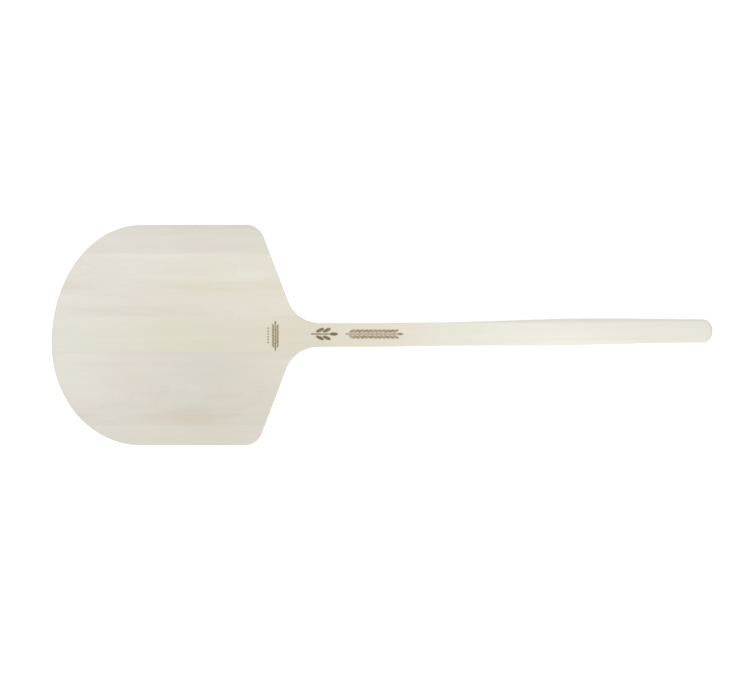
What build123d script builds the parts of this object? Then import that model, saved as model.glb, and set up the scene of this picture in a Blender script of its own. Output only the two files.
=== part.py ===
"""A one-sided wooden pizza peel, 42 in long with a 14 in blade, cut from one edge-glued basswood panel.

Seven staves lie side by side, with a film of hardened glue in each of the six joints. The middle stave
runs on behind the blade and is the handle, so no fastener holds the two together. The underside is flat.
The top of the blade is planed to a wedge, thin at the round front and full thickness at the neck.

Frame: millimetres, +Z up, X from the blade's front edge to the handle's butt. The origin is the middle
of the overall length and of the blade's width, on the flat underside. The right is +Y, as seen by
someone who holds the handle.
"""

from build123d import *
import math
import os

# Overall sizes
overall_length = 1066.8
blade_width = 355.6
thickness = 19.05

# Blade outline, from the front edge backwards. The nose stands a little left of the middle, and the right
# shoulder a little further back than the left.
nose_depth = 144.0
nose_skew = 13.0
shoulder_distance = 334.0
shoulder_skew = 1.5
shoulder_slope = 20.8
shoulder_radius = 28.0
neck_radius = 56.0
edge_round = 1.5

# Wedge planed on the top of the blade
tip_thickness = 4.0
wedge_length = 433.0
wedge_blend = 1500.0

# Handle: its width, its gentle sideways bow, and how round its long edges become towards the grip
handle_width = 38.1
handle_bow = 6.6
bow_start = 470.0
bow_end = 1010.0
grip_start = 640.0
grip_distance = 825.0
grip_width = 43.0
grip_round = 8.5
butt_round = 5.0
butt_depth = 15.3
handle_sections = 14

# Staves: the spare wood of the handle stave on each side of the handle, then each full stave's width.
# The two outermost staves take what is left of the blade's width.
right_spare = 5.5
left_spare = 7.8
right_inner_width = 34.7
right_middle_width = 66.1
left_inner_width = 53.4
left_middle_width = 64.6
glue_film = 0.15

# Burnt ornament: an ear of wheat and a short spray of leaves on the handle, a sprig across the blade
# and a row of dots beside it. Each place is measured from the front edge.
burn_depth = 0.4
grain_angle = 24.0
stalk_width = 1.2
stalk_length = 3.0
handle_figure_side = 2.0
ear_distance = 486.0
ear_pairs = 11
ear_pitch = 7.0
grain_length = 9.4
grain_width = 3.2
leaf_distance = 434.0
leaf_pairs = 2
leaf_pitch = 11.0
leaf_length = 13.0
leaf_width = 4.6
sprig_distance = 362.0
sprig_start = -16.5
sprig_pairs = 7
sprig_pitch = 5.2
sprig_grain_length = 6.0
sprig_grain_width = 2.2
dot_distance = 350.5
dot_count = 6
dot_pitch = 4.6
dot_radius = 0.9

# Places worked out from the sizes
front = -overall_length / 2
butt = overall_length / 2
shoulder = front + shoulder_distance
shoulder_rise = (blade_width - handle_width) / 2
neck_corner = shoulder + shoulder_rise * math.tan(math.radians(shoulder_slope))
neck_end = neck_corner + shoulder_skew + neck_radius * math.tan(math.radians(90 - shoulder_slope) / 2)
wedge_root = front + wedge_length
wedge_rise = (thickness - tip_thickness) / wedge_length
straight = 40.0
handle_start = max(neck_end, wedge_root) + straight
cap_start = butt - butt_depth
outside = 20.0


def eased(x, start, end):
    """Share of the way from start to end, two distances from the front; it leaves and arrives level."""
    share = min(max((x - front - start) / (end - start), 0.0), 1.0)
    return share * share * (3 - 2 * share)


def bow_at(x):
    """Sideways place of the handle's middle."""
    return handle_bow * eased(x, bow_start, bow_end)


def near(x, skew=0.0):
    """Picks the vertices of a flat outline that stand at x, or up to the skew before or behind it."""
    return lambda vertex: abs(vertex.X - x) < skew + 0.01


# Blade: the plan of the board as far as the first straight stretch of the handle
with BuildPart() as blade:
    with BuildSketch() as plan:
        with BuildLine():
            for side, quarter in ((1, 90), (-1, 180)):
                EllipticalCenterArc(
                    (front + nose_depth, -nose_skew),
                    x_radius=nose_depth,
                    y_radius=blade_width / 2 + side * nose_skew,
                    start_angle=quarter,
                    arc_size=90,
                )
                Polyline(
                    (front + nose_depth, side * blade_width / 2),
                    (shoulder + side * shoulder_skew, side * blade_width / 2),
                    (neck_corner + side * shoulder_skew, side * handle_width / 2),
                    (handle_start, side * handle_width / 2),
                )
            Line((handle_start, -handle_width / 2), (handle_start, handle_width / 2))
        make_face()
        fillet(plan.vertices().filter_by(near(shoulder, shoulder_skew)), shoulder_radius)
        fillet(plan.vertices().filter_by(near(neck_corner, shoulder_skew)), neck_radius)
    extrude(amount=thickness)

    # The plane takes everything above the sloping top
    with BuildSketch(Plane.XZ) as planed:
        with BuildLine():
            Polyline(
                (front - outside, tip_thickness - outside * wedge_rise),
                (wedge_root, thickness),
                (butt + outside, thickness),
                (butt + outside, thickness + outside),
                (front - outside, thickness + outside),
                close=True,
            )
        make_face()
        fillet(planed.vertices().filter_by(near(wedge_root)), wedge_blend)
    extrude(amount=blade_width, both=True, mode=Mode.SUBTRACT)

    # Every edge round the blade is eased by hand sanding
    walls = blade.faces().filter_by(lambda face: abs(face.normal_at().Z) < 0.001)
    walls = walls.filter_by(lambda face: face.center().X < handle_start - 0.01)
    rim = walls.edges().filter_by(lambda edge: abs(edge.tangent_at(0.5).Z) < 0.5)
    fillet(rim, edge_round)

# Handle: from the end of the blade's board towards the butt, through evenly spaced sections
with BuildPart() as handle:
    for section in range(handle_sections + 1):
        x = handle_start + (cap_start - handle_start) * section / handle_sections
        growing = eased(x, grip_start, grip_distance)
        easing = eased(x, grip_distance, overall_length - butt_depth)
        width = handle_width + (grip_width - handle_width) * (growing - easing)
        round_over = edge_round + (grip_round - edge_round) * growing + (butt_round - grip_round) * easing
        round_over = min(round_over, 0.45 * thickness)  # no rounder than the handle's side has room for
        with BuildSketch(Plane(origin=(x, bow_at(x), thickness / 2), x_dir=(0, 1, 0), z_dir=(1, 0, 0))):
            RectangleRounded(width, thickness, round_over)
    loft(ruled=True)

# Butt: half an ellipse in plan, its edges rounded over as much as the handle's last section
with BuildPart() as butt_cap:
    with BuildSketch():
        with BuildLine():
            EllipticalCenterArc(
                (cap_start, bow_at(butt)),
                x_radius=butt_depth,
                y_radius=handle_width / 2,
                start_angle=-90,
                arc_size=180,
            )
            Line((cap_start, bow_at(butt) - handle_width / 2), (cap_start, bow_at(butt) + handle_width / 2))
        make_face()
    extrude(amount=thickness)
    cap_rim = butt_cap.edges().filter_by(lambda edge: edge.geom_type == GeomType.ELLIPSE)
    fillet(cap_rim, butt_round)


def wheat(pairs, pitch, length, width):
    """An ear of wheat along the sketch's own X: pairs of grains beside a stem, and one grain at its tip."""
    stem_start = -pitch - stalk_length
    stem_end = pairs * pitch - length / 2 - stalk_width
    spread = stalk_width + length / 2 * math.sin(math.radians(grain_angle)) + width / 2
    for row in range(pairs):
        for side in (-1, 1):
            with Locations((row * pitch, side * spread)):
                Ellipse(length / 2, width / 2, rotation=side * grain_angle)
    with Locations((pairs * pitch, 0)):
        Ellipse(length / 2, width / 2)
    with Locations(((stem_start + stem_end) / 2, 0)):
        SlotOverall(stem_end - stem_start, stalk_width)


# Burnt ornament: each figure stands up through the board, and only the part in its top skin is kept
with BuildPart() as burn:
    with BuildSketch(Plane(origin=(front + ear_distance, handle_figure_side, 0))):
        wheat(ear_pairs, ear_pitch, grain_length, grain_width)
    with BuildSketch(Plane(origin=(front + leaf_distance, handle_figure_side, 0))):
        wheat(leaf_pairs, leaf_pitch, leaf_length, leaf_width)
    with BuildSketch(Plane(origin=(front + sprig_distance, sprig_start, 0), x_dir=(0, 1, 0))):
        wheat(sprig_pairs, sprig_pitch, sprig_grain_length, sprig_grain_width)
    with BuildSketch(Plane(origin=(front + dot_distance, 0, 0))):
        with GridLocations(dot_pitch, dot_pitch, 1, dot_count):
            Circle(dot_radius)
    extrude(amount=thickness + burn_depth)
    with BuildSketch(Plane(origin=(0, 0, -burn_depth), x_dir=(1, 0, 0), z_dir=(0, -1, 0))):
        add(planed.sketch_local)
    extrude(amount=blade_width, both=True, mode=Mode.INTERSECT)

# The whole peel, as it would be if it were cut from one board
with BuildPart() as peel:
    add(blade.part)
    add(handle.part)
    add(butt_cap.part)
    add(burn.part, mode=Mode.SUBTRACT)

# Joints between the staves, from the handle stave outwards
right_inner_joint = handle_width / 2 + handle_bow + right_spare
right_middle_joint = right_inner_joint + right_inner_width
right_outer_joint = right_middle_joint + right_middle_width
left_inner_joint = -(handle_width / 2 + left_spare)
left_middle_joint = left_inner_joint - left_inner_width
left_outer_joint = left_middle_joint - left_middle_width
edge = blade_width / 2 + outside

staves = {
    "right_outer_stave": (right_outer_joint, edge),
    "right_middle_stave": (right_middle_joint, right_outer_joint),
    "right_inner_stave": (right_inner_joint, right_middle_joint),
    "handle_stave": (left_inner_joint, right_inner_joint),
    "left_inner_stave": (left_middle_joint, left_inner_joint),
    "left_middle_stave": (left_outer_joint, left_middle_joint),
    "left_outer_stave": (-edge, left_outer_joint),
}
glue_lines = {
    "right_outer_glue": right_outer_joint,
    "right_middle_glue": right_middle_joint,
    "right_inner_glue": right_inner_joint,
    "left_inner_glue": left_inner_joint,
    "left_middle_glue": left_middle_joint,
    "left_outer_glue": left_outer_joint,
}


def write_slice(name, low, high):
    """Writes the lengthwise slice of the peel between two distances across it."""
    with BuildPart() as piece:
        add(peel.part)
        with Locations((0, (low + high) / 2, 0)):
            Box(overall_length + 2 * outside, high - low, 4 * thickness, mode=Mode.INTERSECT)
    piece.part.label = name
    export_step(piece.part, f"parts/{name}.step")


os.makedirs("parts", exist_ok=True)
for name, (low, high) in staves.items():
    write_slice(name, low + glue_film / 2, high - glue_film / 2)
for name, joint in glue_lines.items():
    write_slice(name, joint - glue_film / 2, joint + glue_film / 2)
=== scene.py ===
"""Looks of a bare wooden pizza peel: seven glued basswood staves, with wheat figures burnt into one of them.

Metres throughout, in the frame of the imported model: X runs from the blade's front edge to the handle's
butt, +Z is up, and the flat underside lies on the floor at z = 0. The right is +Y, as seen by someone
who holds the handle.
"""

import math

import bmesh
import bpy
from mathutils import Matrix, Vector


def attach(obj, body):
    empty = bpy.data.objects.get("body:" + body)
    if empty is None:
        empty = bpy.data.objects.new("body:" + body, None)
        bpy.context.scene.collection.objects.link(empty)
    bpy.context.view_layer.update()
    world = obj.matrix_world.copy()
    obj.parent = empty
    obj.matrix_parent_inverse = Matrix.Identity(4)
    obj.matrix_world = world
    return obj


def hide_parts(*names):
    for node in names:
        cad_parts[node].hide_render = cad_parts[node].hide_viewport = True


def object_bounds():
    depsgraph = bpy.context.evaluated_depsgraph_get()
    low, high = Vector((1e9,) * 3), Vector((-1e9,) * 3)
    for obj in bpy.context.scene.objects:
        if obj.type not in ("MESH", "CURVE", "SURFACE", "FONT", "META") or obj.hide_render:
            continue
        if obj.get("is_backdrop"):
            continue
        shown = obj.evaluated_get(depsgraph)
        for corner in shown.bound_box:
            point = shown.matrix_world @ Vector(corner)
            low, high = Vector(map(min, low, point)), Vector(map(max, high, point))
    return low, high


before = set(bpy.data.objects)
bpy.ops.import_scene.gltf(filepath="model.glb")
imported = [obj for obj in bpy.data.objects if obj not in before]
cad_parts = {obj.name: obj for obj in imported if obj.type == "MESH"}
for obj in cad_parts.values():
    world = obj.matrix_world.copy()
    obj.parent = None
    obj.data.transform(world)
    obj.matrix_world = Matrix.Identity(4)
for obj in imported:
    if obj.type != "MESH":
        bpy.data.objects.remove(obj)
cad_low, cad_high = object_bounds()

# ------------------------------------------------------------------------------- the glued-up board
# Seven basswood staves are glued edge to edge into one board, which is sawn to the peel's outline.
# Its edges are then sanded round: barely round the blade, and fully where the hand grips the handle.

front = cad_low.x
butt = cad_high.x
half_width = cad_high.y
thickness = cad_high.z

nose_depth = 0.144
nose_skew = 0.013
shoulder = front + 0.3340
shoulder_skew = 0.0015
shoulder_slope = math.radians(20.8)
shoulder_radius = 0.028
neck_radius = 0.056
handle_width = 0.0381
handle_bow = 0.0066
bow_start = 0.470
bow_end = 1.010
grip_start = 0.640
grip_distance = 0.825
grip_width = 0.0430
butt_depth = 0.0153
edge_round = 0.0015
grip_round = 0.0085
butt_round = 0.0050

nose_steps = 64
shoulder_steps = 24
neck_steps = 32
handle_steps = 64
butt_steps = 24
quarter_steps = 8
slices = 100

neck_corner = shoulder + (half_width - handle_width / 2) * math.tan(shoulder_slope)
cap_start = butt - butt_depth


def eased(x, start, end):
    """Share of the way from start to end, two distances from the front; it leaves and arrives level."""
    share = min(max((x - front - start) / (end - start), 0.0), 1.0)
    return share * share * (3 - 2 * share)


def rounded_corner(before, at, after, radius, steps):
    """Points of the arc that rounds one corner of the outline."""
    to_before = (before - at).normalized()
    to_after = (after - at).normalized()
    half_angle = to_before.angle(to_after) / 2
    centre = at + (to_before + to_after).normalized() * radius / math.sin(half_angle)
    spoke = at + to_before * radius / math.tan(half_angle) - centre
    turn = math.copysign(math.pi - 2 * half_angle, -to_before.cross(to_after))
    return [centre + Matrix.Rotation(turn * step / steps, 2) @ spoke for step in range(steps + 1)]


def half_outline(side):
    """The outline from the nose to the butt, on the right (side 1) or on the left (side -1)."""
    points = []
    for step in range(nose_steps):
        angle = math.pi / 2 * step / nose_steps
        x = front + nose_depth * (1 - math.cos(angle))
        points.append(Vector((x, side * (half_width + side * nose_skew) * math.sin(angle) - nose_skew)))
    nose_end = Vector((front + nose_depth, side * half_width))
    shoulder_point = Vector((shoulder + side * shoulder_skew, side * half_width))
    neck_point = Vector((neck_corner + side * shoulder_skew, side * handle_width / 2))
    handle_point = Vector((cap_start, side * handle_width / 2))
    points.append(nose_end)
    points += rounded_corner(nose_end, shoulder_point, neck_point, shoulder_radius, shoulder_steps)
    points += rounded_corner(shoulder_point, neck_point, handle_point, neck_radius, neck_steps)
    neck_end = points[-1].x
    for step in range(1, handle_steps):
        x = neck_end + (cap_start - neck_end) * step / handle_steps
        swell = eased(x, grip_start, grip_distance) - eased(x, grip_distance, cap_start - front)
        width = handle_width + (grip_width - handle_width) * swell
        points.append(Vector((x, handle_bow * eased(x, bow_start, bow_end) + side * width / 2)))
    for step in range(butt_steps + 1):
        angle = math.pi / 2 * step / butt_steps
        x = cap_start + butt_depth * math.sin(angle)
        points.append(Vector((x, handle_bow + side * handle_width / 2 * math.cos(angle))))
    return points


def round_at(x):
    """Radius to which the edges are sanded at x."""
    growing = eased(x, grip_start, grip_distance)
    easing = eased(x, grip_distance, cap_start - front)
    return edge_round + (grip_round - edge_round) * growing + (butt_round - grip_round) * easing


def add_ring(shell, outline, turn, lower):
    """One ring of points round the board, at a turn between its flat face (0) and its upright edge."""
    ring = []
    for index, point in enumerate(outline):
        along = outline[(index + 1) % len(outline)] - outline[index - 1]
        inward = Vector((-along.y, along.x)).normalized()
        radius = round_at(point.x)
        place = point + inward * radius * (1 - math.sin(turn))
        height = radius * (1 - math.cos(turn))
        ring.append(shell.verts.new((place.x, place.y, height if lower else thickness - height)))
    return ring


def level_board():
    """The board before it is planed: a closed shell, sliced across so that it can follow the wedge."""
    outline = half_outline(-1)
    outline += reversed(half_outline(1)[1:-1])
    shell = bmesh.new()
    turns = [math.pi / 2 * step / quarter_steps for step in range(quarter_steps + 1)]
    rings = [add_ring(shell, outline, turn, True) for turn in turns]
    rings += [add_ring(shell, outline, turn, False) for turn in reversed(turns)]
    for below, above in zip(rings, rings[1:]):
        for index in range(len(outline)):
            after = (index + 1) % len(outline)
            shell.faces.new((below[index], below[after], above[after], above[index]))
    shell.faces.new(reversed(rings[0]))
    shell.faces.new(rings[-1])
    for cut in range(1, slices):
        bmesh.ops.bisect_plane(
            shell,
            geom=shell.verts[:] + shell.edges[:] + shell.faces[:],
            dist=1e-7,
            plane_co=(front + (butt - front) * cut / slices, 0, 0),
            plane_no=(1, 0, 0),
        )
    return shell


def to_object(name, shell):
    """An object at the origin from a finished shell."""
    mesh = bpy.data.meshes.new(name)
    shell.to_mesh(mesh)
    shell.free()
    made = bpy.data.objects.new(name, mesh)
    bpy.context.scene.collection.objects.link(made)
    return made


board = to_object("board", level_board())

# ------------------------------------------------------------------------------- the planed wedge
# The top of the blade is planed down to a long wedge, thin at the nose, so that it slides under a pizza.
# The plane runs out gently where the wedge meets the level handle.

wedge = {
    "Front": front,
    "Wedge length": 0.433,
    "Tip thickness": 0.004,
    "Thickness": thickness,
    "Blend": 0.00135,
}


def add(tree, kind, links=None, **settings):
    """A node with its settings. Each socket named or numbered in links gets a value, another node's
    output, or a node, which stands for the first of its outputs that is in use."""
    node = tree.nodes.new(kind)
    for name, value in settings.items():
        setattr(node, name, value)
    for label, value in (links or {}).items():
        named = [socket for socket in node.inputs if socket.name == label and socket.enabled]
        socket = named[0] if named else node.inputs[label]
        if isinstance(value, bpy.types.Node):
            value = next(output for output in value.outputs if output.enabled)
        if isinstance(value, bpy.types.NodeSocket):
            tree.links.new(value, socket)
        else:
            socket.default_value = value
    return node


def new_tree(name, kind, inputs, output):
    """An empty node tree with named inputs and one output. Gives the tree, its inputs and its end node."""
    tree = bpy.data.node_groups.new(name, kind)
    for label, socket_kind in inputs.items():
        tree.interface.new_socket(label, in_out="INPUT", socket_type="NodeSocket" + socket_kind)
    tree.interface.new_socket(output, in_out="OUTPUT", socket_type="NodeSocket" + output)
    return tree, add(tree, "NodeGroupInput").outputs, add(tree, "NodeGroupOutput")


def planed_height_tree():
    """Height of the planed top at each point's place along the peel."""
    inputs = {size: "Float" for size in wedge}
    tree, given, result = new_tree("planed height", "GeometryNodeTree", inputs, "Float")
    place = add(tree, "ShaderNodeSeparateXYZ", {0: add(tree, "GeometryNodeInputPosition")})
    root = add(tree, "ShaderNodeMath", {0: given["Front"], 1: given["Wedge length"]}, operation="ADD")
    along = {"Value": place.outputs["X"], "From Min": given["Front"], "From Max": root}
    rise = {"To Min": given["Tip thickness"], "To Max": given["Thickness"]}
    slope = add(tree, "ShaderNodeMapRange", along | rise, clamp=False)
    blending = {0: slope, 1: given["Thickness"], 2: given["Blend"]}
    blended = add(tree, "ShaderNodeMath", blending, operation="SMOOTH_MIN")
    tree.links.new(blended.outputs[0], result.inputs[0])
    return tree


planed_height = planed_height_tree()


def planing_tree():
    """Lowers the upper half of a piece, rounded edges and all, to the planed top, and finishes the piece."""
    inputs = {"Geometry": "Geometry"} | {size: "Float" for size in wedge} | {"Finish": "Material"}
    tree, given, result = new_tree("planing", "GeometryNodeTree", inputs, "Geometry")
    place = add(tree, "ShaderNodeSeparateXYZ", {0: add(tree, "GeometryNodeInputPosition")})
    middle = add(tree, "ShaderNodeMath", {0: given["Thickness"], 1: 0.5}, operation="MULTIPLY")
    upper = add(tree, "FunctionNodeCompare", {"A": place.outputs["Z"], "B": middle}, operation="GREATER_THAN")
    height = add(tree, "GeometryNodeGroup", {size: given[size] for size in wedge}, node_tree=planed_height)
    drop = add(tree, "ShaderNodeMath", {0: height, 1: given["Thickness"]}, operation="SUBTRACT")
    offset = add(tree, "ShaderNodeCombineXYZ", {"Z": drop})
    lowering = {"Geometry": given["Geometry"], "Selection": upper, "Offset": offset}
    lowered = add(tree, "GeometryNodeSetPosition", lowering)
    real = add(tree, "GeometryNodeRealizeInstances", {"Geometry": lowered})
    finished = add(tree, "GeometryNodeSetMaterial", {"Geometry": real, "Material": given["Finish"]})
    tree.links.new(finished.outputs[0], result.inputs[0])
    return tree


planing = planing_tree()

# ------------------------------------------------------------------------------- the side staves
# Three staves on each side widen the blade. Each comes from its own plank of basswood, a pale, even,
# fine-textured wood, so it has its own tone and its own growth rings. All are sanded and left bare.

right_inner_joint = 0.03115
right_middle_joint = 0.06585
right_outer_joint = 0.13195
left_inner_joint = -0.02685
left_middle_joint = -0.08025
left_outer_joint = -0.14485
glue_film = 0.00015
ring_width = 0.0034
ring_wander = 0.030


def cut_slice(low, high):
    """The lengthwise slice of the board between two distances across it, closed where it is cut."""
    shell = bmesh.new()
    shell.from_mesh(board.data)
    for place, outward in ((low, -1), (high, 1)):
        if abs(place) > half_width:
            continue
        cut = bmesh.ops.bisect_plane(
            shell,
            geom=shell.verts[:] + shell.edges[:] + shell.faces[:],
            dist=1e-8,
            plane_co=(0, place, 0),
            plane_no=(0, outward, 0),
            clear_outer=True,
        )
        rim = [piece for piece in cut["geom_cut"] if isinstance(piece, bmesh.types.BMEdge)]
        bmesh.ops.edgeloop_fill(shell, edges=rim)
    bmesh.ops.recalc_face_normals(shell, faces=shell.faces)
    return shell


def settle(made):
    """Turns an object and its modifiers into a plain mesh."""
    evaluated = made.evaluated_get(bpy.context.evaluated_depsgraph_get())
    mesh = bpy.data.meshes.new_from_object(evaluated)
    made.modifiers.clear()
    made.data = mesh
    return made


def shape(made, tree, values):
    """Runs a Geometry Nodes tree on an object, with its inputs given by name, and leaves a plain mesh."""
    modifier = made.modifiers.new(tree.name, "NODES")
    modifier.node_group = tree
    for item in tree.interface.items_tree:
        if item.in_out == "INPUT" and item.name in values:
            modifier[item.identifier] = values[item.name]
    return settle(made)


def planed_piece(name, shell, finish):
    """The piece's own object, planed on top and given its finish."""
    return shape(to_object("finished_" + name, shell), planing, wedge | {"Finish": finish})


def colour(code):
    """Linear colour from an sRGB hex code."""
    shares = [int(code[place : place + 2], 16) / 255 for place in (1, 3, 5)]
    linear = [share / 12.92 if share <= 0.04045 else ((share + 0.055) / 1.055) ** 2.4 for share in shares]
    return (*linear, 1.0)


def wood_noise(tree, place, seed, size, detail=2.0):
    """Noise in patches of about the given size, in millimetres along, across and through the wood."""
    scale = [1000 / length for length in size]
    stretched = add(tree, "ShaderNodeMapping", {"Vector": place, "Scale": scale})
    settings = {"Vector": stretched, "W": seed, "Scale": 1.0, "Detail": detail}
    return add(tree, "ShaderNodeTexNoise", settings, noise_dimensions="4D")


def basswood_tree():
    """Shade of solid basswood, from 0 where it is palest to 1: growth rings round a leaning pith, streaks
    of mineral and sap, slow patches, and fibres."""
    inputs = {name: "Float" for name in ("Pith across", "Pith depth", "Pith lean", "Figure", "Seed")}
    tree, given, result = new_tree("basswood shade", "ShaderNodeTree", inputs, "Float")
    place = add(tree, "ShaderNodeTexCoord").outputs["Object"]
    split = add(tree, "ShaderNodeSeparateXYZ", {0: place})
    seed = given["Seed"]

    # Distance from the pith. The trunk was never quite straight, so the rings wander by some millimetres.
    beside = {0: split.outputs["Y"], 1: given["Pith across"]}
    across = add(tree, "ShaderNodeMath", beside, operation="SUBTRACT")
    rising = {0: split.outputs["X"], 1: given["Pith lean"], 2: given["Pith depth"]}
    depth = add(tree, "ShaderNodeMath", rising, operation="MULTIPLY_ADD")
    below = add(tree, "ShaderNodeMath", {0: split.outputs["Z"], 1: depth}, operation="ADD")
    spoke = add(tree, "ShaderNodeCombineXYZ", {"X": across, "Y": below})
    radius = add(tree, "ShaderNodeVectorMath", {0: spoke}, operation="LENGTH")
    bend = wood_noise(tree, place, seed, (190, 60, 60))
    wandering = {0: bend, 1: ring_wander, 2: radius.outputs["Value"]}
    bent = add(tree, "ShaderNodeMath", wandering, operation="MULTIPLY_ADD")

    # Each ring darkens towards its latewood. Runs of lean years make broader bands.
    rings = add(tree, "ShaderNodeMath", {0: bent, 1: ring_width}, operation="DIVIDE")
    part_of_ring = add(tree, "ShaderNodeMath", {0: rings}, operation="FRACT")
    latewood = add(tree, "ShaderNodeMath", {0: part_of_ring, 1: 3.0}, operation="POWER")
    years = add(
        tree, "ShaderNodeTexNoise", {"W": rings, "Scale": 0.3, "Detail": 2.0}, noise_dimensions="1D"
    )
    shade = add(tree, "ShaderNodeMath", {0: years, 1: given["Figure"]}, operation="MULTIPLY")
    patterns = (
        (latewood, 0.14),
        (wood_noise(tree, place, seed, (170, 10, 10), 3.0), 0.55),
        (wood_noise(tree, place, seed, (110, 45, 30), 1.0), 0.40),
        (wood_noise(tree, place, seed, (9, 0.4, 0.4)), 0.20),
    )
    for pattern, share in patterns:
        shade = add(tree, "ShaderNodeMath", {0: pattern, 1: share, 2: shade}, operation="MULTIPLY_ADD")
    tree.links.new(shade.outputs[0], result.inputs[0])
    return tree


basswood_shade = basswood_tree()


def sanded_basswood(name, span, tones, left, pith, lean, figure, seed, wood_band_and_edge_shade=None, scorched=False):
    """Sanded basswood: creamy white and nearly without figure, so that the eye finds soft streaks along
    the stave, faint rings, and a matt surface with the fibres just standing up.

    tones are hex colours, each at its distance from the front in millimetres, and left tints them towards the
    stave's left edge. pith is its place across and its depth below the underside. The argument after seed
    gives a darker band's place across, half its width, and its colour: a band of the wood's own colour on
    most staves, and on the right outer stave painted shade along the blade's right edge."""
    material = bpy.data.materials.new("sanded_basswood_" + name)
    material.use_nodes = True
    tree = material.node_tree
    tree.nodes.clear()
    place = add(tree, "ShaderNodeTexCoord").outputs["Object"]
    split = add(tree, "ShaderNodeSeparateXYZ", {0: place})

    # Tone along the stave, and from its right edge to its left
    along = {"Value": split.outputs["X"], "From Min": front, "From Max": butt}
    ramp = add(tree, "ShaderNodeValToRGB", {0: add(tree, "ShaderNodeMapRange", along)})
    stops = ramp.color_ramp.elements
    stops.remove(stops[1])
    for distance, code in tones.items():
        stop = stops.new(distance / 1000 / (butt - front)) if distance else stops[0]
        stop.color = colour(code)
    leftward = {"Value": split.outputs["Y"], "From Min": span[1], "From Max": span[0]}
    tinted = {"Factor": add(tree, "ShaderNodeMapRange", leftward), "A": ramp, "B": colour(left)}
    tone = add(tree, "ShaderNodeMix", tinted, data_type="RGBA", blend_type="MULTIPLY").outputs[2]

    # A darker band along the stave, broken into gaps: on most staves a band of the wood's own colour, and on
    # the right outer stave painted shade along the blade's right edge.
    if wood_band_and_edge_shade:
        centre, half, code = wood_band_and_edge_shade
        offset = add(tree, "ShaderNodeMath", {0: split.outputs["Y"], 1: centre}, operation="SUBTRACT")
        away = add(tree, "ShaderNodeMath", {0: offset}, operation="ABSOLUTE")
        fade = {"Value": away, "From Min": half, "From Max": 0.0}
        near = add(tree, "ShaderNodeMapRange", fade, interpolation_type="SMOOTHSTEP")
        broken = wood_noise(tree, place, seed + 5, (130, 14, 14))
        gaps = {"Value": broken, "From Min": 0.35, "From Max": 0.60}
        shown = add(tree, "ShaderNodeMapRange", gaps, interpolation_type="SMOOTHSTEP")
        share = add(tree, "ShaderNodeMath", {0: near, 1: shown}, operation="MULTIPLY")
        band_and_shade_mix = {"Factor": share, "A": tone, "B": colour(code)}
        tone = add(tree, "ShaderNodeMix", band_and_shade_mix, data_type="RGBA", blend_type="MULTIPLY").outputs[2]

    # Shade of the wood itself, and the end grain, which drinks the light
    wood = {"Pith across": pith[0], "Pith depth": pith[1], "Pith lean": lean, "Figure": figure, "Seed": seed}
    shade = add(tree, "ShaderNodeGroup", wood, node_tree=basswood_shade)
    spread = {"Value": shade, "From Min": 0.20, "From Max": 1.20}
    shading = add(tree, "ShaderNodeMapRange", spread)
    shaded = {"Factor": shading, "A": tone, "B": colour("#f2efe9")}
    body = add(tree, "ShaderNodeMix", shaded, data_type="RGBA", blend_type="MULTIPLY").outputs[2]
    normal = add(tree, "ShaderNodeSeparateXYZ", {0: add(tree, "ShaderNodeNewGeometry").outputs["Normal"]})
    facing = add(tree, "ShaderNodeMath", {0: normal.outputs["X"]}, operation="ABSOLUTE")
    ends = {"Value": facing, "From Min": 0.35, "From Max": 1.0}
    end_grain = add(tree, "ShaderNodeMapRange", ends, interpolation_type="SMOOTHSTEP")
    dark_ends = {"Factor": end_grain, "A": body, "B": colour("#f0e9dc")}
    body = add(tree, "ShaderNodeMix", dark_ends, data_type="RGBA", blend_type="MULTIPLY").outputs[2]

    if scorched:
        scorch = add(tree, "ShaderNodeAttribute", attribute_name="scorch").outputs["Fac"]
        toasted = {"Factor": scorch, "A": body, "B": colour("#d3c2a6")}
        body = add(tree, "ShaderNodeMix", toasted, data_type="RGBA", blend_type="MULTIPLY").outputs[2]

    bump = add(tree, "ShaderNodeBump", {"Strength": 0.25, "Distance": 0.0002, "Height": shade})
    surface = {"Base Color": body, "Roughness": 0.62, "IOR": 1.5, "Normal": bump}
    shader = add(tree, "ShaderNodeBsdfPrincipled", surface)
    add(tree, "ShaderNodeOutputMaterial", {"Surface": shader})
    return material


def finish_piece(made, node):
    """Shades a finished piece's rounded edges smooth and puts it in place of its plain CAD solid."""
    made.data.shade_smooth()
    made.data.set_sharp_from_angle(angle=math.radians(35))
    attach(made, "root")
    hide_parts(node)


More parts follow.
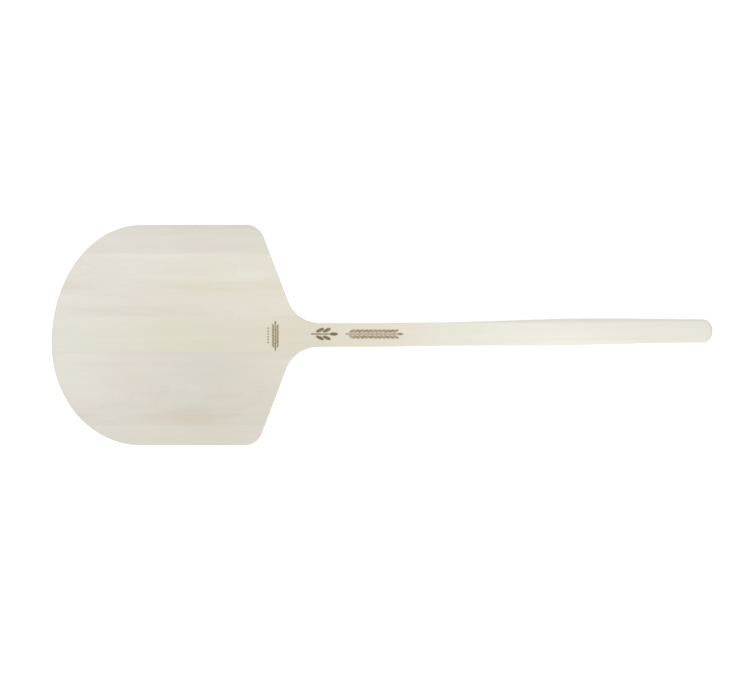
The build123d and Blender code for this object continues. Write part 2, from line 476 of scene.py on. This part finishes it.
side_staves = {
    "right_outer_stave": {
        "span": (right_outer_joint, half_width + 0.01),
        "tones": {0: "#d7d5d0", 120: "#d5d2cc", 250: "#d1cdc6", 350: "#cdcbc2"},
        "left": "#ffffff",
        "pith": (0.300, 0.020),
        "lean": 0.004,
        "figure": 0.30,
        "seed": 3.0,
        # Painted shade: a darker band, broken into gaps, along the blade's right edge.
        "wood_band_and_edge_shade": (0.1778, 0.009, "#f3f2ee"),
    },
    "right_middle_stave": {
        "span": (right_middle_joint, right_outer_joint),
        "tones": {0: "#dfddd7", 120: "#dddbd6", 250: "#d8d7ce", 400: "#d6d3cb"},
        "left": "#f9f9f7",
        "pith": (0.108, 0.045),
        "lean": 0.045,
        "figure": 0.75,
        "seed": 11.0,
        "wood_band_and_edge_shade": (0.080, 0.014, "#fcfaf6"),
    },
    "right_inner_stave": {
        "span": (right_inner_joint, right_middle_joint),
        "tones": {0: "#deddd6", 150: "#d5d1c9", 280: "#d3d0c7", 420: "#d3cdc4"},
        "left": "#fcfcfc",
        "pith": (0.020, 0.070),
        "lean": 0.022,
        "figure": 0.60,
        "seed": 19.0,
        "wood_band_and_edge_shade": None,
    },
    "left_inner_stave": {
        "span": (left_middle_joint, left_inner_joint),
        "tones": {0: "#d9d8d0", 120: "#d2cec6", 250: "#c8c5bd", 420: "#cac6bd"},
        "left": "#fefefd",
        "pith": (-0.160, 0.030),
        "lean": 0.006,
        "figure": 0.40,
        "seed": 29.0,
        "wood_band_and_edge_shade": None,
    },
    "left_middle_stave": {
        "span": (left_outer_joint, left_middle_joint),
        "tones": {0: "#d9d6cf", 120: "#d1cec7", 250: "#c8c5bd", 380: "#c6c3b9"},
        "left": "#f9faf8",
        "pith": (-0.095, 0.060),
        "lean": 0.020,
        "figure": 0.50,
        "seed": 37.0,
        "wood_band_and_edge_shade": (-0.131, 0.020, "#fcf7f3"),
    },
    "left_outer_stave": {
        "span": (-half_width - 0.01, left_outer_joint),
        "tones": {0: "#d3d0c9", 150: "#cdcac1", 260: "#c6c3b9", 360: "#c5c2b9"},
        "left": "#fefdfd",
        "pith": (-0.260, 0.010),
        "lean": 0.005,
        "figure": 0.30,
        "seed": 43.0,
        "wood_band_and_edge_shade": None,
    },
}

for name, stave in side_staves.items():
    low, high = stave["span"]
    shell = cut_slice(low + glue_film / 2, high - glue_film / 2)
    finish_piece(planed_piece(name, shell, sanded_basswood(name, **stave)), name)

# ------------------------------------------------------------------------------- the glue films
# A film of food-safe wood glue fills each of the six joints. It has been planed and sanded level with
# the wood, so all that shows is a hair-thin amber line.


def hardened_glue():
    """Hardened wood glue: pale amber and a little glossier than the wood, cloudy where it soaked in."""
    material = bpy.data.materials.new("hardened_wood_glue")
    material.use_nodes = True
    tree = material.node_tree
    tree.nodes.clear()
    place = add(tree, "ShaderNodeTexCoord").outputs["Object"]
    cloud = wood_noise(tree, place, 2.0, (14, 1.5, 3))
    clouded = {"Factor": cloud, "A": colour("#d3c8ae"), "B": colour("#c0b294")}
    amber = add(tree, "ShaderNodeMix", clouded, data_type="RGBA").outputs[2]
    bump = add(tree, "ShaderNodeBump", {"Strength": 0.2, "Distance": 0.0001, "Height": cloud})
    surface = {"Base Color": amber, "Roughness": 0.38, "IOR": 1.47, "Normal": bump}
    shader = add(tree, "ShaderNodeBsdfPrincipled", surface)
    add(tree, "ShaderNodeOutputMaterial", {"Surface": shader})
    return material


glue = hardened_glue()
glue_lines = {
    "right_outer_glue": right_outer_joint,
    "right_middle_glue": right_middle_joint,
    "right_inner_glue": right_inner_joint,
    "left_inner_glue": left_inner_joint,
    "left_middle_glue": left_middle_joint,
    "left_outer_glue": left_outer_joint,
}
for name, joint in glue_lines.items():
    shell = cut_slice(joint - glue_film / 2, joint + glue_film / 2)
    finish_piece(planed_piece(name, shell, glue), name)

# ------------------------------------------------------------------------------- the burnt ornament
# Figures of wheat are burnt into the top of the handle stave with a hot tool: an ear and a short spray
# on the handle, and across the blade a sprig with a row of dots beside it. Each has a flat charred floor.

burn_depth = 0.0004
stroke_height = 0.004
grain_angle = math.radians(24)
stalk_width = 0.0012
stalk_length = 0.0030
ear_place = (front + 0.486, 0.002, 0)
spray_place = (front + 0.434, 0.002, 0)
spray_middle = front + 0.447
spray_reach = 0.030
heat_fade = 0.002
sprig_place = (front + 0.362, -0.0165, 0)
dots_place = (front + 0.3505, 0, 0)


def charred_wood():
    """Charred basswood: dark brown in cloudy patches, with a dry and crumbly surface. The tool was hottest
    when it burnt the spray of leaves, so the other figures are paler."""
    material = bpy.data.materials.new("charred_basswood")
    material.use_nodes = True
    tree = material.node_tree
    tree.nodes.clear()
    place = add(tree, "ShaderNodeTexCoord").outputs["Object"]
    char = wood_noise(tree, place, 7.0, (5, 1.6, 1.6), 3.0)
    spread = add(tree, "ShaderNodeMapRange", {"Value": char, "From Min": 0.30, "From Max": 0.70})
    split = add(tree, "ShaderNodeSeparateXYZ", {0: place})
    away = add(tree, "ShaderNodeMath", {0: split.outputs["X"], 1: spray_middle}, operation="SUBTRACT")
    away = add(tree, "ShaderNodeMath", {0: away}, operation="ABSOLUTE")
    near_spray = {
        "Value": away,
        "From Min": spray_reach + heat_fade,
        "From Max": spray_reach - heat_fade,
    }
    heat = add(tree, "ShaderNodeMapRange", near_spray)
    cool = {"Factor": spread, "A": colour("#6a5e50"), "B": colour("#a99d8a")}
    hot = {"Factor": spread, "A": colour("#483d32"), "B": colour("#877965")}
    pale = add(tree, "ShaderNodeMix", cool, data_type="RGBA").outputs[2]
    dark = add(tree, "ShaderNodeMix", hot, data_type="RGBA").outputs[2]
    brown = add(tree, "ShaderNodeMix", {"Factor": heat, "A": pale, "B": dark}, data_type="RGBA").outputs[2]
    crumbs = wood_noise(tree, place, 8.0, (0.5, 0.3, 0.3))
    bump = add(tree, "ShaderNodeBump", {"Strength": 0.5, "Distance": 0.0001, "Height": crumbs})
    surface = {"Base Color": brown, "Roughness": 0.88, "IOR": 1.5, "Normal": bump}
    shader = add(tree, "ShaderNodeBsdfPrincipled", surface)
    add(tree, "ShaderNodeOutputMaterial", {"Surface": shader})
    return material


charred = charred_wood()


def burning_tool_tree():
    """Turns a figure, moves it to its place, and lets it down to the floor of its burn."""
    inputs = {
        "Geometry": "Geometry",
        "Place": "Vector",
        "Turn": "Float",
        "Depth": "Float",
        "Char": "Material",
    }
    tree, given, result = new_tree("burning tool", "GeometryNodeTree", inputs, "Geometry")
    turn = add(tree, "ShaderNodeCombineXYZ", {"Z": given["Turn"]})
    setting = {"Geometry": given["Geometry"], "Translation": given["Place"], "Rotation": turn}
    placed = add(tree, "GeometryNodeTransform", setting)
    real = add(tree, "GeometryNodeRealizeInstances", {"Geometry": placed})
    split = add(tree, "ShaderNodeSeparateXYZ", {0: add(tree, "GeometryNodeInputPosition")})
    height = add(tree, "GeometryNodeGroup", wedge, node_tree=planed_height)
    floor_height = add(tree, "ShaderNodeMath", {0: height, 1: given["Depth"]}, operation="SUBTRACT")
    stroke = {"Value": split.outputs["Z"], "From Min": -0.5, "From Max": 0.5, "To Max": stroke_height}
    rise = add(tree, "ShaderNodeMapRange", stroke)
    level = add(tree, "ShaderNodeMath", {0: floor_height, 1: rise}, operation="ADD")
    flat = {"X": split.outputs["X"], "Y": split.outputs["Y"], "Z": level}
    lowering = {"Geometry": real, "Position": add(tree, "ShaderNodeCombineXYZ", flat)}
    lowered = add(tree, "GeometryNodeSetPosition", lowering)
    burnt = add(tree, "GeometryNodeSetMaterial", {"Geometry": lowered, "Material": given["Char"]})
    tree.links.new(burnt.outputs[0], result.inputs[0])
    return tree


burning_tool = burning_tool_tree()


def use_burning_tool(tree, geometry, given, result):
    """Ends a figure's tree with the burning tool."""
    setting = {name: given[name] for name in ("Place", "Turn", "Depth", "Char")}
    burnt = add(tree, "GeometryNodeGroup", setting | {"Geometry": geometry}, node_tree=burning_tool)
    tree.links.new(burnt.outputs[0], result.inputs[0])


def grain_mesh(tree, length, width):
    """One upright grain, an ellipse in plan."""
    block = add(tree, "GeometryNodeMeshCylinder", {"Vertices": 20, "Radius": 0.5, "Depth": 1.0})
    size = add(tree, "ShaderNodeCombineXYZ", {"X": length, "Y": width, "Z": 1.0})
    return add(tree, "GeometryNodeTransform", {"Geometry": block.outputs["Mesh"], "Scale": size})


def wheat_tree():
    """A figure of wheat along X: pairs of grains that lean away from a stem, and one grain at its tip."""
    inputs = {
        "Geometry": "Geometry",
        "Pairs": "Int",
        "Pitch": "Float",
        "Grain length": "Float",
        "Grain width": "Float",
        "Grain angle": "Float",
        "Stalk width": "Float",
        "Stalk length": "Float",
        "Place": "Vector",
        "Turn": "Float",
        "Depth": "Float",
        "Char": "Material",
    }
    tree, given, result = new_tree("wheat figure", "GeometryNodeTree", inputs, "Geometry")

    # Grains are numbered up the stem, left and right in turn. The last one stands on the stem's own line.
    number = add(tree, "GeometryNodeInputIndex")
    last = add(tree, "ShaderNodeMath", {0: given["Pairs"], 1: 2.0}, operation="MULTIPLY")
    count = add(tree, "ShaderNodeMath", {0: last, 1: 1.0}, operation="ADD")
    beside = add(tree, "ShaderNodeMath", {0: number, 1: last}, operation="LESS_THAN")
    odd = add(tree, "ShaderNodeMath", {0: number, 1: 2.0}, operation="MODULO")
    either = add(tree, "ShaderNodeMath", {0: odd, 1: -2.0, 2: 1.0}, operation="MULTIPLY_ADD")
    side = add(tree, "ShaderNodeMath", {0: either, 1: beside}, operation="MULTIPLY")
    halved = add(tree, "ShaderNodeMath", {0: number, 1: 0.5}, operation="MULTIPLY")
    row = add(tree, "ShaderNodeMath", {0: halved}, operation="FLOOR")

    # A grain's middle stands off the stem by half its leaning height and half its width.
    half_width_out = {0: given["Grain width"], 1: 0.5, 2: given["Stalk width"]}
    spread = add(tree, "ShaderNodeMath", half_width_out, operation="MULTIPLY_ADD")
    lift = add(tree, "ShaderNodeMath", {0: given["Grain angle"]}, operation="SINE")
    half_length = add(tree, "ShaderNodeMath", {0: given["Grain length"], 1: 0.5}, operation="MULTIPLY")
    spread = add(tree, "ShaderNodeMath", {0: half_length, 1: lift, 2: spread}, operation="MULTIPLY_ADD")
    along = add(tree, "ShaderNodeMath", {0: row, 1: given["Pitch"]}, operation="MULTIPLY")
    aside = add(tree, "ShaderNodeMath", {0: side, 1: spread}, operation="MULTIPLY")
    lean = add(tree, "ShaderNodeMath", {0: side, 1: given["Grain angle"]}, operation="MULTIPLY")
    place = add(tree, "ShaderNodeCombineXYZ", {"X": along, "Y": aside})
    points = add(tree, "GeometryNodePoints", {"Count": count, "Position": place})
    grain = grain_mesh(tree, given["Grain length"], given["Grain width"])
    lay = {"Points": points, "Instance": grain, "Rotation": add(tree, "ShaderNodeCombineXYZ", {"Z": lean})}
    grains = add(tree, "GeometryNodeInstanceOnPoints", lay)

    # The stem runs from a stalk's length behind the first pair to just short of the tip grain.
    back = add(tree, "ShaderNodeMath", {0: given["Pitch"], 1: given["Stalk length"]}, operation="ADD")
    ahead = add(tree, "ShaderNodeMath", {0: given["Pairs"], 1: given["Pitch"]}, operation="MULTIPLY")
    ahead = add(tree, "ShaderNodeMath", {0: ahead, 1: half_length}, operation="SUBTRACT")
    ahead = add(tree, "ShaderNodeMath", {0: ahead, 1: given["Stalk width"]}, operation="SUBTRACT")
    run = add(tree, "ShaderNodeMath", {0: ahead, 1: back}, operation="ADD")
    stem_size = add(tree, "ShaderNodeCombineXYZ", {"X": run, "Y": given["Stalk width"], "Z": 1.0})
    stem = add(tree, "GeometryNodeMeshCube", {"Size": stem_size})
    difference = add(tree, "ShaderNodeMath", {0: ahead, 1: back}, operation="SUBTRACT")
    middle = add(tree, "ShaderNodeMath", {0: difference, 1: 0.5}, operation="MULTIPLY")
    stem_place = add(tree, "ShaderNodeCombineXYZ", {"X": middle})
    stem = add(tree, "GeometryNodeTransform", {"Geometry": stem.outputs["Mesh"], "Translation": stem_place})
    figure = add(tree, "GeometryNodeJoinGeometry", {"Geometry": grains})
    tree.links.new(stem.outputs[0], figure.inputs["Geometry"])
    use_burning_tool(tree, figure, given, result)
    return tree


def dots_tree():
    """A row of round dots along X, centred on its place."""
    inputs = {
        "Geometry": "Geometry",
        "Dots": "Int",
        "Pitch": "Float",
        "Width": "Float",
        "Place": "Vector",
        "Turn": "Float",
        "Depth": "Float",
        "Char": "Material",
    }
    tree, given, result = new_tree("row of dots", "GeometryNodeTree", inputs, "Geometry")
    last = add(tree, "ShaderNodeMath", {0: given["Dots"], 1: 1.0}, operation="SUBTRACT")
    middle = add(tree, "ShaderNodeMath", {0: last, 1: 0.5}, operation="MULTIPLY")
    number = add(tree, "GeometryNodeInputIndex")
    step = add(tree, "ShaderNodeMath", {0: number, 1: middle}, operation="SUBTRACT")
    along = add(tree, "ShaderNodeMath", {0: step, 1: given["Pitch"]}, operation="MULTIPLY")
    place = add(tree, "ShaderNodeCombineXYZ", {"X": along})
    points = add(tree, "GeometryNodePoints", {"Count": given["Dots"], "Position": place})
    dot = grain_mesh(tree, given["Width"], given["Width"])
    dots = add(tree, "GeometryNodeInstanceOnPoints", {"Points": points, "Instance": dot})
    use_burning_tool(tree, dots, given, result)
    return tree


def burnt_figure(tree, **values):
    """The cutter for one figure, made by its tree."""
    made = to_object(tree.name, bmesh.new())
    return shape(made, tree, {"Depth": burn_depth, "Char": charred} | values)


wheat = wheat_tree()
stalk = {"Grain angle": grain_angle, "Stalk width": stalk_width, "Stalk length": stalk_length}
across_blade = {"Turn": math.pi / 2}
ear = {"Pairs": 11, "Pitch": 0.0070, "Grain length": 0.0094, "Grain width": 0.0032}
spray = {"Pairs": 2, "Pitch": 0.0110, "Grain length": 0.0130, "Grain width": 0.0046}
sprig = {"Pairs": 7, "Pitch": 0.0052, "Grain length": 0.0060, "Grain width": 0.0022}
dots = {"Dots": 6, "Pitch": 0.0046, "Width": 0.0018}
cutters = [
    burnt_figure(wheat, **ear, **stalk, Place=ear_place),
    burnt_figure(wheat, **spray, **stalk, Place=spray_place),
    burnt_figure(wheat, **sprig, **stalk, **across_blade, Place=sprig_place),
    burnt_figure(dots_tree(), **dots, **across_blade, Place=dots_place),
]

# The cutters are joined into one, and all of them bring the char to what they cut.
figures = bmesh.new()
for cutter in cutters:
    figures.from_mesh(cutter.data)
    bpy.data.objects.remove(cutter)
for face in figures.faces:
    face.material_index = 0
figures = to_object("burnt_figures", figures)
figures.data.materials.append(charred)

# ------------------------------------------------------------------------------- the handle stave
# The middle stave runs on behind the blade and is the whole handle, so nothing has to hold the two
# together. The figures are burnt into its top, and the heat toasts the wood for a millimetre round them.

scorch_reach = 0.0013
patch_step = 0.0007
slice_reach = 0.011
whole_face = 1e-5

# The two parts of the top that hold figures: from and to along the peel, then from and to across it
burnt_patches = (
    (front + 0.416, front + 0.572, -0.0085, 0.0125),
    (front + 0.346, front + 0.370, -0.0260, 0.0245),
)


def divide_top(made, low_x, high_x, low_y, high_y):
    """Divides part of a piece's top into small squares, fine enough to carry the toasted edges. The faces
    to divide are those over that part, and whole ones that reach it from a slice of the board away."""
    shell = bmesh.new()
    shell.from_mesh(made.data)
    across = [low_y + patch_step * step for step in range(round((high_y - low_y) / patch_step) + 1)]
    along = [low_x + patch_step * step for step in range(round((high_x - low_x) / patch_step) + 1)]
    cuts = [((x, 0, 0), (1, 0, 0)) for x in (along[0], along[-1])]
    cuts += [((0, y, 0), (0, 1, 0)) for y in across]
    cuts += [((x, 0, 0), (1, 0, 0)) for x in along[1:-1]]
    for place, normal in cuts:
        patch = []
        for face in shell.faces:
            centre = face.calc_center_bounds()
            upward = face.normal.z > 0.99
            beside = low_x - slice_reach < centre.x < high_x + slice_reach
            within = abs(centre.y - (low_y + high_y) / 2) < (high_y - low_y) / 2
            if upward and beside and (within or face.calc_area() > whole_face):
                patch.append(face)
        edges = {edge for face in patch for edge in face.edges}
        corners = {corner for face in patch for corner in face.verts}
        bmesh.ops.bisect_plane(
            shell, geom=[*corners, *edges, *patch], dist=1e-7, plane_co=place, plane_no=normal
        )
    shell.to_mesh(made.data)
    shell.free()


def burning_in_tree():
    """Cuts the figures out of a stave and marks how strongly the wood is scorched near them. Their floors
    and walls keep the finish that the figures bring, and the rest keeps the wood's."""
    inputs = {
        "Geometry": "Geometry",
        "Figures": "Object",
        "Reach": "Float",
        "Char": "Material",
        "Wood": "Material",
    }
    tree, given, result = new_tree("burning in", "GeometryNodeTree", inputs, "Geometry")
    figures = add(tree, "GeometryNodeObjectInfo", {"Object": given["Figures"]}).outputs["Geometry"]
    cutting = {"Mesh 1": given["Geometry"], "Mesh 2": figures, "Self Intersection": True}
    burnt = add(tree, "GeometryNodeMeshBoolean", cutting, operation="DIFFERENCE", solver="EXACT")
    away = add(tree, "GeometryNodeProximity", {"Geometry": figures}, target_element="FACES")
    fade = {"Value": away.outputs["Distance"], "From Max": given["Reach"], "To Min": 1.0, "To Max": 0.0}
    scorch = add(tree, "ShaderNodeMapRange", fade, interpolation_type="SMOOTHSTEP")
    storing = {"Geometry": burnt.outputs["Mesh"], "Name": "scorch", "Value": scorch}
    stored = add(tree, "GeometryNodeStoreNamedAttribute", storing, data_type="FLOAT", domain="POINT")
    real = add(tree, "GeometryNodeRealizeInstances", {"Geometry": stored})
    charred_faces = add(tree, "GeometryNodeMaterialSelection", {"Material": given["Char"]})
    bare = add(tree, "FunctionNodeBooleanMath", {0: charred_faces}, operation="NOT")
    wooden = {"Geometry": real, "Selection": bare, "Material": given["Wood"]}
    finished = add(tree, "GeometryNodeSetMaterial", wooden)
    tree.links.new(finished.outputs[0], result.inputs[0])
    return tree


handle_span = (left_inner_joint, right_inner_joint)
handle_wood = sanded_basswood(
    "handle_stave",
    span=handle_span,
    tones={
        0: "#dcdad3",
        190: "#d2d0c4",
        330: "#cecabf",
        430: "#cac5b8",
        560: "#cec8bd",
        640: "#cecdc5",
        800: "#d1cec7",
        1066: "#cbc9c2",
    },
    left="#fafbf9",
    pith=(0.230, 0.040),
    lean=0.003,
    figure=0.35,
    seed=51.0,
    scorched=True,
)
shell = cut_slice(handle_span[0] + glue_film / 2, handle_span[1] - glue_film / 2)
handle = planed_piece("handle_stave", shell, handle_wood)
for patch in burnt_patches:
    divide_top(handle, *patch)
burning = {"Figures": figures, "Reach": scorch_reach, "Char": charred, "Wood": handle_wood}
shape(handle, burning_in_tree(), burning)
finish_piece(handle, "handle_stave")
bpy.data.objects.remove(figures)
bpy.data.objects.remove(board)

# ------------------------------------------------------------------------------- floor, light and camera
# The peel lies on a seamless white sheet in a bright, even studio. One large soft lamp above the handle,
# a little to the left, brightens the handle a little more than the blade.


def white_sheet():
    """Matt white paper that is lit through from below, so that only a trace of shadow is left on it."""
    material = bpy.data.materials.new("matt_white_paper")
    material.use_nodes = True
    tree = material.node_tree
    tree.nodes.clear()
    place = add(tree, "ShaderNodeTexCoord").outputs["Object"]
    tooth = wood_noise(tree, place, 1.0, (1.5, 1.5, 1.5))
    bump = add(tree, "ShaderNodeBump", {"Strength": 0.05, "Distance": 0.0001, "Height": tooth})
    surface = {
        "Base Color": colour("#eeeeee"),
        "Roughness": 0.9,
        "Emission Color": colour("#ffffff"),
        "Emission Strength": 0.30,
        "Normal": bump,
    }
    shader = add(tree, "ShaderNodeBsdfPrincipled", surface)
    add(tree, "ShaderNodeOutputMaterial", {"Surface": shader})
    return material


sheet_reach = 6.0
sheet_gap = 0.0002
sheet = bmesh.new()
bmesh.ops.create_grid(sheet, x_segments=8, y_segments=8, size=sheet_reach)
bmesh.ops.translate(sheet, verts=sheet.verts, vec=(0, 0, -sheet_gap))
sheet = to_object("floor", sheet)
sheet.data.materials.append(white_sheet())
sheet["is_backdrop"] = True

scene = bpy.context.scene
world = bpy.data.worlds.new("white_studio")
world.use_nodes = True
world.node_tree.nodes["Background"].inputs["Color"].default_value = colour("#ffffff")
world.node_tree.nodes["Background"].inputs["Strength"].default_value = 1.0
scene.world = world
scene.view_settings.view_transform = "Standard"

lamp_data = bpy.data.lights.new("soft_lamp", "AREA")
lamp_data.shape = "DISK"
lamp_data.size = 0.6
lamp_data.energy = 5.8
lamp = bpy.data.objects.new("soft_lamp", lamp_data)
lamp.location = (0.35, -0.42, 1.0)
lamp.rotation_euler = (Vector((0.30, 0, 0)) - lamp.location).to_track_quat("-Z", "Y").to_euler()
lamp.visible_camera = False
scene.collection.objects.link(lamp)

view_width = 1.2077
view_centre = Vector((-0.0108, -0.0028, thickness))
camera_data = bpy.data.cameras.new("camera")
camera_data.lens = 120
camera_data.sensor_width = 36
camera = bpy.data.objects.new("camera", camera_data)
distance = view_width * camera_data.lens / camera_data.sensor_width
camera.location = view_centre + Vector((0, 0, distance))
camera_data.clip_end = 20
scene.collection.objects.link(camera)
scene.camera = camera

low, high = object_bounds()
